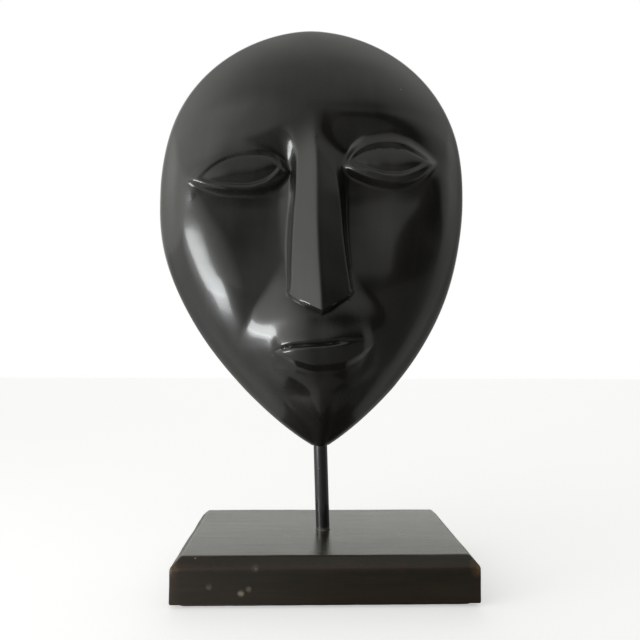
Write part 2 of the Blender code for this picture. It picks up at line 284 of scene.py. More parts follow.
def insideOutline(across, up, count=260):
    # how far each point lies inside the outline, in millimetres
    high = maskShape["height"] * (1 - np.cos(np.linspace(0, math.pi, count))) / 2
    wide = halfWidth(high)
    edge = np.concatenate([np.stack([wide, high], 1), np.stack([-wide[::-1], high[::-1]], 1)[1:-1]])
    run = np.roll(edge, -1, axis=0) - edge
    runSquare = (run**2).sum(axis=1)
    found = np.empty(len(across))
    for start in range(0, len(across), 4000):
        part = slice(start, start + 4000)
        gap = np.stack([across[part], up[part]], 1)[:, None, :] - edge[None]
        share = np.clip((gap * run[None]).sum(axis=2) / runSquare[None], 0, 1)
        gap -= share[:, :, None] * run[None]
        found[part] = np.sqrt((gap**2).sum(axis=2).min(axis=1))
    return found


# heights are mm above the virtual tip of the chin, depths mm forward of the flat back
cushion = dict(
    bandHeight=((0, 5), (20, 9), (60, 12.5), (105, 12.8), (140, 11.8), (170, 13.2), (200, 19.5), (240, 24.5),
                (314, 26)),
    bandBlend=((0, 4), (60, 4), (110, 4.5), (150, 6), (185, 15), (220, 28), (314, 32)),
    rollSlope=0.9,
    rollStart=((0, 13), (105, 12.5), (135, 11), (165, 9), (314, 8)),
    rollHeight=((0, 0), (40, 1.5), (75, 6), (100, 12), (125, 18), (150, 20), (180, 13), (210, 4.5), (240, 0),
                (314, 0)),
    rollBlend=16.0,
    belly=((0, 0), (40, 6), (75, 7), (110, 6), (150, 6), (200, 14), (240, 14), (270, 9), (295, 3.5),
           (314, 0)),
)
brow = dict(
    line=((-112, 200), (-92, 207), (-77, 216), (-60, 223.5), (-45, 226), (-28, 229), (-14, 234), (0, 239),
          (8, 239), (18, 236.5), (32, 235.5), (50, 235), (72, 233.5), (90, 226), (112, 205)),
    dropHeight=((-45, 36), (-15, 36), (14, 29)),
    depth=12.0,
    reach=54.0,
    fullTo=20.0,  # the recess is at its full depth this far out, and fades beyond it
    recessFrom=85.0,
    recessRun=75.0,
)
noseShape = dict(
    middle=((60, 1.5), (95, 2.1), (110, 2.4), (150, 2.8), (185, 2.8), (225, 2.0), (260, 0.5)),
    rootHeight=200.0,
    rootDepth=60.5,
    slope=0.13,
    roofSlope=0.5,
    rightSteeper=0.28,
    eave=((93, 21.5), (109, 21.2), (114, 20.3), (146, 17.8), (182, 15.4), (205, 14.5), (216, 17), (232, 24)),
    eaveRight=((93, 21.5), (109, 21.2), (114, 20.3), (146, 17.8), (182, 15.4), (200, 12), (216, 7), (232, 4)),
    wallSlope=((93, 5), (150, 5), (185, 2.6), (205, 1.4), (232, 0.8)),
    underside=((0, 97), (7, 100.8), (14, 105.2), (19, 108.8), (22, 112.5), (30, 127)),
    undersideSlope=7.0,
    ridgeRound=((93, 0.6), (130, 0.8), (185, 1.0), (215, 1.6), (230, 4), (248, 14)),
)
muzzleShape = dict(
    depth=((0, 21), (15, 32), (30, 42), (45, 49.5), (60, 57.2), (76, 60.8), (92, 61.5), (112, 54), (135, 38)),
    reach=((0, 4), (10, 8), (20, 13), (35, 21), (50, 29), (60, 33), (80, 36), (100, 31), (115, 26),
           (135, 22)),
    fall=16.0,
    power=((0, 1.15), (40, 1.2), (62, 2.3), (140, 2.3)),
    ridgeRound=4.0,
    blend=((0, 3), (20, 5), (50, 9), (75, 14), (105, 20), (140, 20)),
)
mouthShape = dict(
    line=((-34, 70), (-28.6, 72.6), (-16, 75), (1, 75.6), (16, 76.9), (26, 77.8), (38, 76.5)),
    lipLow=((-34, 71), (-27, 68.5), (-16, 61), (-2, 57), (12, 57.8), (25, 63), (33, 70), (38, 76)),
    middle=2.0,
    reach=34.0,
    lipHeight=3.0,
    lipRise=0.36,  # the share of the lip over which it rises from its lower edge
    lipFade=10,
    under=1.5,
    underReach=5.5,
    slitDepth=2.4,
    slitHalf=1.3,
)
leftEye = dict(
    lidTop=((-93, 194), (-84, 203), (-77, 209), (-60, 217), (-45, 218), (-30, 215), (-20, 207), (-14, 198)),
    cut=((-79, 190), (-76.5, 193), (-67.4, 201), (-58.7, 205.6), (-48, 208), (-36, 208.5), (-29, 207),
         (-22, 199.5)),
    openLow=((-79, 190), (-70, 187), (-59, 185.7), (-45.5, 185.2), (-33.4, 188.2), (-26, 194), (-22, 199.5)),
    lidLow=((-93, 193.6), (-84, 187.5), (-73, 182.6), (-60, 179.5), (-44, 179.1), (-30, 181.3), (-20, 188.5),
            (-14, 197)),
    cutFade=(-34, 22),
)
rightEye = dict(
    lidTop=((17, 198), (22, 208), (28, 218), (38, 223.5), (53.6, 225), (65.6, 221), (77, 214), (91, 202.5)),
    cut=((24, 200.5), (28, 205), (36.7, 210.1), (49, 212.4), (62, 211.2), (72.3, 206.5), (81, 200.7)),
    openLow=((24, 200.5), (30, 197.5), (39.5, 194.6), (49.8, 191.4), (59.3, 190.6), (71.7, 194.1),
             (81, 200.7)),
    lidLow=((17, 197.6), (22, 193.5), (32.6, 187.6), (45.6, 183), (58.6, 181), (72, 184.4), (84, 194.5),
            (91, 202)),
    cutFade=(200, 1),
)
lid = dict(height=6.8, topRun=13.0, bottomRun=5.5, fullSpread=38.0, fullOpening=20.0, rim=0.9, sunk=2.9,
           bulge=2.9, incision=1.5, cutHalf=1.5)


def cushionDepth(across, up, inside):
    m, c = maskShape, cushion
    rounded = m["edgeRound"] * np.sqrt(1 - (1 - np.clip(inside / m["edgeRound"], 0, 1)) ** 2)
    height = curveThrough(c["bandHeight"], up)
    band = softMin(m["bandSlope"] * inside, height, curveThrough(c["bandBlend"], up))
    rollHeight = curveThrough(c["rollHeight"], up)
    climbing = c["rollSlope"] * softMax(inside - curveThrough(c["rollStart"], up), 0, 6)
    roll = softMin(climbing, rollHeight, c["rollBlend"] * rollHeight / 18 + 0.01)
    wide = np.maximum(halfWidth(up), 1)
    belly = curveThrough(c["belly"], up) * np.clip(1 - (across / wide) ** 2, 0, 1) ** 1.3
    return m["side"] + rounded + band + roll + belly


def noseDepth(across, up):
    n = noseShape
    right = across > curveThrough(n["middle"], up)
    out = np.abs(across - curveThrough(n["middle"], up))
    ridge = n["rootDepth"] + (n["rootHeight"] - up) * n["slope"]
    rounding = curveThrough(n["ridgeRound"], up)
    soft = np.sqrt(out**2 + rounding**2) - rounding
    eave = np.where(right, curveThrough(n["eaveRight"], up), curveThrough(n["eave"], up))
    steeper = n["rightSteeper"] * smoothStep((up - 175) / 40) * right
    roof = ridge - (n["roofSlope"] + steeper) * soft
    wallSlope = np.where(right, curveThrough(n["wallSlope"], up), curveThrough(n["wallSlope"], up - 20))
    wall = ridge - n["roofSlope"] * eave - wallSlope * (out - eave)
    under = ridge + n["undersideSlope"] * (up - curveThrough(n["underside"], out))
    return softMin(softMin(roof, wall, 2.5 + 5 * smoothStep((up - 165) / 50) * right), under, 2.5)


def muzzleDepth(across, up):
    m = muzzleShape
    out = np.sqrt(across**2 + m["ridgeRound"] ** 2) - m["ridgeRound"]
    drop = m["fall"] * (out / curveThrough(m["reach"], up)) ** curveThrough(m["power"], up)
    return curveThrough(m["depth"], up) - drop


def mouthRelief(across, up):
    m = mouthShape
    line = curveThrough(m["line"], across)
    low = curveThrough(m["lipLow"], across)
    out = np.abs(across - m["middle"]) / m["reach"]
    ends = smoothStep((1.06 - out) / 0.3)
    share = (up - low) / np.maximum(line - low, 0.5)
    above = np.exp(-((np.clip(up - line, 0, None) / m["lipFade"]) ** 2))
    lip = m["lipHeight"] * smoothStep(share / m["lipRise"]) * above * ends
    under = m["under"] * np.exp(-(((up - low + 5) / m["underReach"]) ** 2)) * ends
    fade = 1 - 0.95 * smoothStep((across - 8) / 15)
    slit = m["slitDepth"] * np.exp(-(((up - line) / m["slitHalf"]) ** 2)) * ends * fade
    return lip - under - slit


def eyeRelief(across, up, eye):
    first, last = eye["lidTop"][0][0], eye["lidTop"][-1][0]
    top, low = curveThrough(eye["lidTop"], across), curveThrough(eye["lidLow"], across)
    within = (across > first) & (across < last)
    spread = np.where(within, np.clip((top - low) / lid["fullSpread"], 0, 1), 0)
    rise = smoothStep((up - low) / lid["bottomRun"]) * smoothStep((top - up) / lid["topRun"])
    raised = lid["height"] * spread**0.5 * rise
    cutTop, cutLow = curveThrough(eye["cut"], across), curveThrough(eye["openLow"], across)
    openFirst, openLast = eye["cut"][0][0], eye["cut"][-1][0]
    openWithin = (across > openFirst) & (across < openLast)
    openShare = np.where(openWithin, np.clip((cutTop - cutLow) / lid["fullOpening"], 0, 1), 0)
    ballMask = smoothStep((cutTop - up) / 1.8) * smoothStep((up - cutLow) / 3.0)
    ballMask = ballMask * smoothStep(openShare / 0.25)
    half = np.maximum((cutTop - cutLow) / 2, 0.5)
    ball = lid["bulge"] * np.clip(1 - ((up - (cutTop + cutLow) / 2) / half) ** 2, 0, 1) * openShare
    fade = 1 - 0.7 * smoothStep((across - eye["cutFade"][0]) / eye["cutFade"][1] + 0.5)
    cut = lid["incision"] * np.exp(-(((up - cutTop) / lid["cutHalf"]) ** 2)) * openShare**0.5 * fade
    rim = lid["rim"] * np.exp(-(((up - cutLow + 1.6) / 1.8) ** 2)) * openShare**0.5
    return raised + rim - ballMask * (lid["sunk"] * openShare**0.5 - ball) - cut


def faceDepth(across, up, inside):
    out = np.abs(across)
    plain = cushionDepth(across, up, inside)
    recess = brow["depth"] * np.exp(-((np.clip(out - brow["fullTo"], 0, None) / brow["reach"]) ** 2))
    cheek = plain - recess * smoothStep((up - brow["recessFrom"]) / brow["recessRun"])
    lowered = softMax(cheek, muzzleDepth(across, up), curveThrough(muzzleShape["blend"], up))
    near = smoothStep(inside / 12)
    eyes = eyeRelief(across, up, leftEye) + eyeRelief(across, up, rightEye)
    lowered = lowered + near * (mouthRelief(across, up) + eyes)
    noseBlend = 3 + 6 * smoothStep((up - 118) / 40) + 4 * smoothStep((up - 180) / 30)
    lowered = softMax(lowered, noseDepth(across, up), noseBlend)
    drop = curveThrough(brow["line"], across) - up
    underBrow = smoothStep(drop / curveThrough(brow["dropHeight"], across))
    return plain + (lowered - plain) * underBrow


def handRipple(across, up):
    # the gentle unevenness that hand sanding leaves, a tenth of a millimetre or so
    slow = np.sin(across / 9.1 + 1.7 * np.sin(up / 23)) * np.sin(up / 11.3 + 1.3 * np.sin(across / 17))
    quick = np.sin(across / 4.7 + up / 7.9) * np.sin(up / 5.9 - across / 8.3)
    return 0.10 * slow + 0.03 * quick


def gougeMarks(across, up):
    # long shallow scoops left in the hollow, in staggered rows
    row = np.floor(across / 9.0)
    stagger = np.sin(row * 12.9898) * 43758.5453 % 1
    along = (up / 26.0 + stagger) % 1
    cross = (across / 9.0) % 1
    return 0.55 * (4 * cross * (1 - cross)) * np.sin(along * math.pi) ** 0.6


def hollowDepth(across, up, inside):
    m = maskShape
    plain = cushionDepth(across, up, inside) - m["wall"]
    bank = m["bankSlope"] * (inside - m["hollowRim"])
    foot = m["footSlope"] * (up - m["hollowFoot"] - m["footCurve"] * across**2)
    blend = m["hollowBlend"]
    depth = softMax(softMin(softMin(plain, bank, blend), foot, blend), 0, m["hollowLip"])
    return depth - gougeMarks(across, up) * smoothStep((depth - 8) / 12)


# how the mask's rows are shared out over its height: the tree's height against the final one
rowSpread = ((0, 0), (35, 48), (98, 98), (142, 134), (166, 170), (244, 232), (278, 280), (314, 314))


def respaced(share, up):
    # columns run along the sides of the nose, so that its edges stay crisp
    wide = np.maximum(halfWidth(up), 0.01)
    far = np.abs(share)
    follow = smoothStep((up - 40) / 50) * smoothStep((262 - up) / 45)
    eave = curveThrough(noseShape["eave"], up) / wide
    noseColumns = 0.17
    line = noseColumns + (eave - noseColumns) * follow
    inner = far / noseColumns * line
    outer = line + (far - noseColumns) / (1 - noseColumns) * (1 - line)
    spread = np.where(far < noseColumns, inner, outer)
    middle = curveThrough(noseShape["middle"], up) * follow * (1 - spread**2)
    return np.sign(share) * wide * spread + middle


def followUnderside(across, up):
    # rows bend along the lower edge of the nose, for the same reason
    n = noseShape
    out = np.minimum(np.abs(across - curveThrough(n["middle"], up)), 30)
    tip = n["underside"][0][1]
    lift = curveThrough(n["underside"][:5] + ((30, 116),), out) - tip
    lift = lift * smoothStep((70 - np.abs(across)) / 40)
    return up + lift * smoothStep((up - 81) / (tip - 81)) * smoothStep((180 - up) / (180 - tip))


def addSocket(form, floor, radius, depth, steps=48):
    # closes the cut chin with a flat face round the rod's hole
    rim = [edge for edge in form.edges if edge.is_boundary]
    turns = np.linspace(0, 2 * math.pi, steps + 1)[:-1]
    spots = [(radius * math.cos(t), radius * math.sin(t)) for t in turns]
    low = [form.verts.new((x, y, floor)) for x, y in spots]
    high = [form.verts.new((x, y, floor + depth)) for x, y in spots]
    mouth = [form.edges.new(pair) for pair in zip(low, low[1:] + low[:1])]
    for i in range(steps):
        k = (i + 1) % steps
        form.faces.new((low[i], low[k], high[k], high[i]))
    form.faces.new(high)
    bmesh.ops.triangle_fill(form, use_beauty=True, edges=rim + mouth)


def makeMask(material):
    m = maskShape
    values = {"Half Width": m["halfWidth"], "Height": m["height"], "Widest": m["widest"],
              "Lower Power": m["lowerPowers"][0], "Lower Root": m["lowerPowers"][1],
              "Upper Power": m["upperPowers"][0], "Upper Root": m["upperPowers"][1],
              "Side": m["side"], "Front Share": m["frontShare"], "Edge Share": m["edgeShare"],
              "Around": m["around"], "Rows": m["rows"]}
    mesh = growMesh("carvedMask", maskBlankTree(), values, material)
    across, back, up = readPoints(mesh).T.copy()
    toEdge, toMiddle = np.empty(len(up)), np.empty(len(up))
    mesh.attributes["toEdge"].data.foreach_get("value", toEdge)
    mesh.attributes["toMiddle"].data.foreach_get("value", toMiddle)
    front = toEdge < 1.0001
    pole = (up < 0.001) | (up > m["height"] - 0.001)
    share = across / np.maximum(halfWidth(up), 0.01)
    up = curveThrough(rowSpread, up)
    across = np.where(front, respaced(share, up), share * halfWidth(up))
    up = np.where(front, followUnderside(across, up), up)
    inside = insideOutline(across, up)
    inside[toEdge > 0.9999] *= toMiddle[toEdge > 0.9999] > 0
    face = faceDepth(across, up, inside) + handRipple(across, up) * smoothStep(inside / 8)
    depth = np.where(front, face, -back)
    depth = np.where(toMiddle > 0, hollowDepth(across, up, inside), depth)
    depth = np.where(pole, m["side"] / 2, depth)
    across = across + curveThrough(m["drift"], up)  # the outline wanders a little from side to side
    rubbed = np.exp(-inside / 1.6) * smoothStep((1.02 - toEdge) * 40)
    paintAttribute(mesh, "wear", rubbed)
    carved = np.stack([across, m["rodForward"] - depth, up - m["chinCut"] + m["rodExposed"]], axis=1)
    mesh.vertices.foreach_set("co", (carved * mm).ravel())
    for name in ("toEdge", "toMiddle"):
        mesh.attributes.remove(mesh.attributes[name])
    mesh.update()
    form = formOf(mesh)
    floor = Vector((0, 0, m["rodExposed"] * mm))
    cutGeometry = form.verts[:] + form.edges[:] + form.faces[:]
    bmesh.ops.bisect_plane(form, geom=cutGeometry, plane_co=floor, plane_no=(0, 0, -1), clear_outer=True)
    addSocket(form, m["rodExposed"] * mm, m["socketRadius"] * mm, m["socketDepth"] * mm)
    bmesh.ops.recalc_face_normals(form, faces=form.faces)
    form.transform(standFrame)
    mesh.clear_geometry()
    form.to_mesh(mesh)
    form.free()
    mesh.shade_smooth()
    mesh.set_sharp_from_angle(angle=math.radians(50))
    print("mask:", len(mesh.polygons), "faces")
    return addPiece("carvedMask", mesh, "mask", "mask_wood", "mask")


def newMaterial(name, roughness, metallic=0.0, **fixed):
    material = bpy.data.materials.new(name)
    material.use_nodes = True
    tree = material.node_tree
    shader = tree.nodes["Principled BSDF"]
    fill(tree, shader, {"Roughness": roughness, "Metallic": metallic, **fixed})
    return material, tree, shader


def useGroup(tree, group, **values):
    return put(tree, "ShaderNodeGroup", {"node_tree": group}, **values).outputs


def onPiece(tree, scale=(1, 1, 1), centre=(0, 0, 0)):
    # the piece's own coordinates, stretched along the grain where asked
    where = put(tree, "ShaderNodeTexCoord").outputs["Object"]
    return put(tree, "ShaderNodeMapping", Vector=where, Location=centre, Scale=scale).outputs[0]


def layered(tree, colour, *layers):
    # lays named finishes over a colour, each through its own mask
    for mask, finish in layers:
        under = (*colour, 1) if isinstance(colour, tuple) else colour
        mix = put(tree, "ShaderNodeMix", {"data_type": "RGBA"}, i0=mask, i6=under, i7=(*finishes[finish], 1))
        colour = mix.outputs[2]
    return colour


def remap(tree, value, low, high, fromLow=0.0, fromHigh=1.0, **settings):
    return put(tree, "ShaderNodeMapRange", settings, Value=value, From_Min=fromLow, From_Max=fromHigh,
               To_Min=low, To_Max=high).outputs[0]


def noiseAt(tree, where, scale, **settings):
    return put(tree, "ShaderNodeTexNoise", Vector=where, Scale=scale, **settings).outputs[0]


def relief(tree, height, strength, distance):
    return put(tree, "ShaderNodeBump", Height=height, Strength=strength, Distance=distance).outputs[0]


def woodGrainGroup():
    inputs = {"Vector": "Vector", "Streak Size": 60.0, "Fibre Size": 900.0}
    outputs = {"Streaks": "Float", "Fibres": "Float"}
    tree = newTree("woodGrain", "ShaderNodeTree", inputs, outputs)
    given = tree.nodes["in"].outputs
    streaks = noiseAt(tree, given["Vector"], given["Streak Size"], Detail=5.0, Roughness=0.62, Distortion=0.6)
    fibres = noiseAt(tree, given["Vector"], given["Fibre Size"], Detail=3.0, Roughness=0.7)
    fill(tree, tree.nodes["out"], dict(Streaks=remap(tree, streaks, 0, 1, 0.3, 0.7),
                                       Fibres=remap(tree, fibres, 0, 1, 0.35, 0.65)))
    return tree


def edgeWearGroup():
    # reads how near an edge each point lies, and breaks the line up with noise
    inputs = {"Vector": "Vector", "Patch Size": 120.0, "Amount": 0.5}
    tree = newTree("edgeWear", "ShaderNodeTree", inputs, {"Mask": "Float"})
    given = tree.nodes["in"].outputs
    near = put(tree, "ShaderNodeAttribute", {"attribute_name": "wear"}).outputs["Fac"]
    patches = noiseAt(tree, given["Vector"], given["Patch Size"], Detail=6.0, Roughness=0.7)
    patchy = calc(tree, "ADD", calc(tree, "SUBTRACT", patches, 1.0), given["Amount"])
    mask = calc(tree, "MULTIPLY", calc(tree, "ADD", patchy, calc(tree, "MULTIPLY", near, 0.5)), 5.0)
    fill(tree, tree.nodes["out"], dict(Mask=calc(tree, "MULTIPLY", held(tree, mask), near)))
    return tree


def dustSpecksGroup():
    inputs = {"Vector": "Vector", "Spacing": 90.0, "Share": 0.04, "Size": 0.06}
    outputs = {"Specks": "Float", "Haze": "Float"}
    tree = newTree("dustSpecks", "ShaderNodeTree", inputs, outputs)
    given = tree.nodes["in"].outputs
    cells = put(tree, "ShaderNodeTexVoronoi", Vector=given["Vector"], Scale=given["Spacing"])
    chance = put(tree, "ShaderNodeSeparateColor", i0=cells.outputs["Color"]).outputs[0]
    chosen = calc(tree, "LESS_THAN", chance, given["Share"])
    small = calc(tree, "LESS_THAN", cells.outputs["Distance"], given["Size"])
    haze = noiseAt(tree, given["Vector"], 9.0, Detail=4.0, Roughness=0.55)
    fill(tree, tree.nodes["out"], dict(Specks=calc(tree, "MULTIPLY", chosen, small),
                                       Haze=remap(tree, haze, 0, 1, 0.3, 0.7)))
    return tree


def spot(tree, where, place, reach, breakUp):
    # a soft round mark at a place on the piece, given in millimetres
    middle = [value * mm for value in place]
    away = put(tree, "ShaderNodeVectorMath", {"operation": "DISTANCE"}, i0=where, i1=middle)
    mark = remap(tree, away.outputs["Value"], 1, 0, reach * mm * 0.25, reach * mm)
    return calc(tree, "MULTIPLY", mark, breakUp)


grainGroup, wearGroup, dustGroup = woodGrainGroup(), edgeWearGroup(), dustSpecksGroup()

finishes = dict(
    maskDark=(0.0085, 0.0082, 0.0080),
    maskStreak=(0.016, 0.0145, 0.0125),
    maskWorn=(0.040, 0.026, 0.017),
    dust=(0.42, 0.41, 0.38),
    baseDark=(0.0150, 0.0128, 0.0085),
    baseStreak=(0.029, 0.0235, 0.0150),
    baseRed=(0.060, 0.033, 0.023),
    baseBare=(0.33, 0.19, 0.075),
    baseChip=(0.42, 0.37, 0.29),
    rodBlack=(0.012, 0.0125, 0.013),
    rodWorn=(0.16, 0.15, 0.14),
    steel=(0.50, 0.50, 0.48),
    steelDull=(0.36, 0.355, 0.33),
    steelBright=(0.68, 0.68, 0.67),
    felt=(0.018, 0.018, 0.019),
    feltFluff=(0.05, 0.05, 0.052),
)


def maskFinish():
    material, tree, shader = newMaterial("polishedBlackWood", 0.3, Coat_Weight=0.7, Coat_Roughness=0.12)
    along = onPiece(tree, (1, 1, 0.14))
    even = onPiece(tree)
    grain = useGroup(tree, grainGroup, Vector=along, Streak_Size=75.0, Fibre_Size=1100.0)
    dust = useGroup(tree, dustGroup, Vector=even, Spacing=75.0, Share=0.035, Size=0.05)
    worn = useGroup(tree, wearGroup, Vector=even, Patch_Size=60.0, Amount=0.34)
    specks = calc(tree, "MULTIPLY", dust["Specks"], 0.6)
    colour = layered(tree, finishes["maskDark"], (grain["Streaks"], "maskStreak"), (worn["Mask"], "maskWorn"),
                     (specks, "dust"))
    rough = addUp(tree, 0.22, (dust["Haze"], 0.10), (grain["Streaks"], 0.05), (dust["Specks"], 0.4))
    coat = addUp(tree, 0.8, (dust["Haze"], -0.2), (dust["Specks"], -0.6))
    height = addUp(tree, grain["Streaks"], (grain["Fibres"], 0.35))
    fill(tree, shader, dict(Base_Color=colour, Roughness=rough, Coat_Weight=coat,
                            Normal=relief(tree, height, 0.05, 0.0004)))
    return material


board = dict(
    width=194.0,
    depth=128.0,
    thickness=28.2,
    bottom=1.8,
    chamfer=6.0,
    ease=1.2,
    boreRadius=5.3,
    boltRadius=4.2,
    shoulder=7.3,
    recessDepth=14.0,
    recessRadius=14.5,
    waver=0.28,
    fineWaver=0.09,
    cell=5.0,
    # chips and scuffs: place in mm, reach, strength, and whether it is drawn out along the grain
    marks=(
        ((-52.5, -64, 9.1), 2.6, 0.6, False),
        ((-47.9, -64, 11.5), 2.2, 0.6, False),
        ((-72.2, -64, 13.2), 2.4, 0.25, False),
        ((-44.0, -64, 24.4), 3.0, 0.22, False),
        ((-25.0, -17.6, 30), 9.0, 0.30, True),
        ((10.7, -13.3, 30), 5.0, 0.22, False),
        ((55.0, -13.9, 30), 7.0, 0.25, True),
    ),
    bareCorners=(((97, -64, 24.5), 8.0, 1.0, False), ((-97, -64, 24), 7.0, 0.4, False)),
)


def baseFinish():
    material, tree, shader = newMaterial("stainedBrownBlackWood", 0.3, Coat_Roughness=0.2)
    along = onPiece(tree, (0.1, 1, 1))
    even = onPiece(tree)
    grain = useGroup(tree, grainGroup, Vector=along, Streak_Size=120.0, Fibre_Size=1500.0)
    dust = useGroup(tree, dustGroup, Vector=even, Spacing=110.0, Share=0.02, Size=0.07)
    worn = useGroup(tree, wearGroup, Vector=even, Patch_Size=150.0, Amount=0.42)
    ragged = remap(tree, noiseAt(tree, even, 260.0, Detail=5.0, Roughness=0.7), 0.35, 1, 0.42, 0.6)
    streaked = remap(tree, noiseAt(tree, onPiece(tree, (0.3, 2.2, 1)), 240.0, Detail=4.0), 0, 1, 0.45, 0.62)
    x, _, z = put(tree, "ShaderNodeSeparateXYZ", i0=even).outputs
    redLow = remap(tree, z, 0.55, 0, 0.002, 0.02)
    redLeft = remap(tree, x, 0.75, 0, -0.097, -0.05)
    red = calc(tree, "MULTIPLY", calc(tree, "MAXIMUM", redLow, redLeft), dust["Haze"])

    def strongest(marks):
        found = 0.0
        for place, reach, strength, drawnOut in marks:
            mark = spot(tree, even, place, reach, streaked if drawnOut else ragged)
            found = calc(tree, "MAXIMUM", calc(tree, "MULTIPLY", mark, strength), found)
        return found

    pale, golden = strongest(board["marks"]), strongest(board["bareCorners"])
    layers = ((red, 0.6, "baseRed"), (worn["Mask"], 0.55, "baseRed"), (golden, 0.6, "baseBare"),
              (pale, 1.0, "baseChip"), (dust["Specks"], 0.4, "dust"))
    colour = layered(tree, finishes["baseDark"], (grain["Streaks"], "baseStreak"),
                     *((calc(tree, "MULTIPLY", mask, share), finish) for mask, share, finish in layers))
    rough = addUp(tree, 0.15, (dust["Haze"], 0.10), (grain["Streaks"], 0.05),
                  (calc(tree, "MAXIMUM", pale, golden), 0.3))
    height = addUp(tree, grain["Streaks"], (grain["Fibres"], 0.5))
    fill(tree, shader, dict(Base_Color=colour, Roughness=rough, Normal=relief(tree, height, 0.12, 0.0006)))
    return material


def rodFinish():
    material, tree, shader = newMaterial("glossBlackRod", 0.15, Coat_Weight=1.0, Coat_Roughness=0.06)
    even = onPiece(tree)
    dust = useGroup(tree, dustGroup, Vector=even, Spacing=300.0, Share=0.05, Size=0.12)
    worn = useGroup(tree, wearGroup, Vector=even, Patch_Size=500.0, Amount=0.45)
    specks = calc(tree, "MULTIPLY", dust["Specks"], 0.4)
    colour = layered(tree, finishes["rodBlack"], (worn["Mask"], "rodWorn"), (specks, "dust"))
    drips = noiseAt(tree, onPiece(tree, (1, 1, 0.25)), 320.0, Detail=2.0)
    fill(tree, shader, dict(Base_Color=colour, Roughness=addUp(tree, 0.16, (dust["Haze"], 0.12)),
                            Normal=relief(tree, drips, 0.08, 0.0005)))
    return material


def steelFinish():
    material, tree, shader = newMaterial("zincPlatedSteel", 0.35, 1.0)
    even = onPiece(tree)
    dust = useGroup(tree, dustGroup, Vector=even, Spacing=500.0, Share=0.1, Size=0.2)
    worn = useGroup(tree, wearGroup, Vector=even, Patch_Size=700.0, Amount=0.5)
    colour = layered(tree, finishes["steel"], (dust["Haze"], "steelDull"), (worn["Mask"], "steelBright"))
    fill(tree, shader, dict(Base_Color=colour, Roughness=addUp(tree, 0.27, (dust["Haze"], 0.2))))
    return material


def feltFinish():
    material, tree, shader = newMaterial("blackFelt", 0.95, Sheen_Weight=0.35, Sheen_Roughness=0.5)
    fuzz = noiseAt(tree, onPiece(tree), 1400.0, Detail=6.0, Roughness=0.8)
    tufts = noiseAt(tree, onPiece(tree), 260.0, Detail=3.0)
    colour = layered(tree, finishes["felt"], (remap(tree, fuzz, 0, 1, 0.3, 0.7), "feltFluff"))
    height = addUp(tree, fuzz, (tufts, 0.6))
    fill(tree, shader, dict(Base_Color=colour, Normal=relief(tree, height, 0.6, 0.0008)))
    return material


def paintAttribute(mesh, name, values):
    layer = mesh.attributes.new(name, "FLOAT", "POINT")
    layer.data.foreach_set("value", np.asarray(values, dtype=np.float32))


def readPoints(mesh):
    place = np.empty(len(mesh.vertices) * 3)
    mesh.vertices.foreach_get("co", place)
    return place.reshape(-1, 3)


def positions(mesh):
    return readPoints(mesh) / mm


def blockForm(width, depth, thickness, bottom):
    form = bmesh.new()
    bmesh.ops.create_cube(form, size=1)
    bmesh.ops.scale(form, vec=(width * mm, depth * mm, thickness * mm), verts=form.verts)
    bmesh.ops.translate(form, vec=(0, 0, (bottom + thickness / 2) * mm), verts=form.verts)
    return form


def bevelWhere(form, chosen, width, segments):
    edges = [edge for edge in form.edges if chosen(*(vert.co for vert in edge.verts))]
    bmesh.ops.bevel(form, geom=edges, offset=width * mm, segments=segments, profile=0.5, affect="EDGES")


def sliceForm(form, axis, places):
    # adds edge loops across a form, so that it can be bent gently
    normal = [0, 0, 0]
    normal[axis] = 1
    for place in places:
        spotOn = [0, 0, 0]
        spotOn[axis] = place * mm
        everything = form.verts[:] + form.edges[:] + form.faces[:]
        bmesh.ops.bisect_plane(form, geom=everything, plane_co=spotOn, plane_no=normal)


def booleanMesh(form, cutterForm, operation="DIFFERENCE"):
    # cuts one form with another and gives back a plain form
    items = []
    for part in (form, cutterForm):
        mesh = bpy.data.meshes.new("cutting")
        part.to_mesh(mesh)
        part.free()
        items.append(newObject("cutting", mesh))
    modifier = items[0].modifiers.new("cut", "BOOLEAN")
    modifier.operation = operation
    modifier.object = items[1]
    modifier.solver = "EXACT"
    result = bmesh.new()
    result.from_object(items[0], bpy.context.evaluated_depsgraph_get())
    for item in items:
        bpy.data.objects.remove(item)
    return result


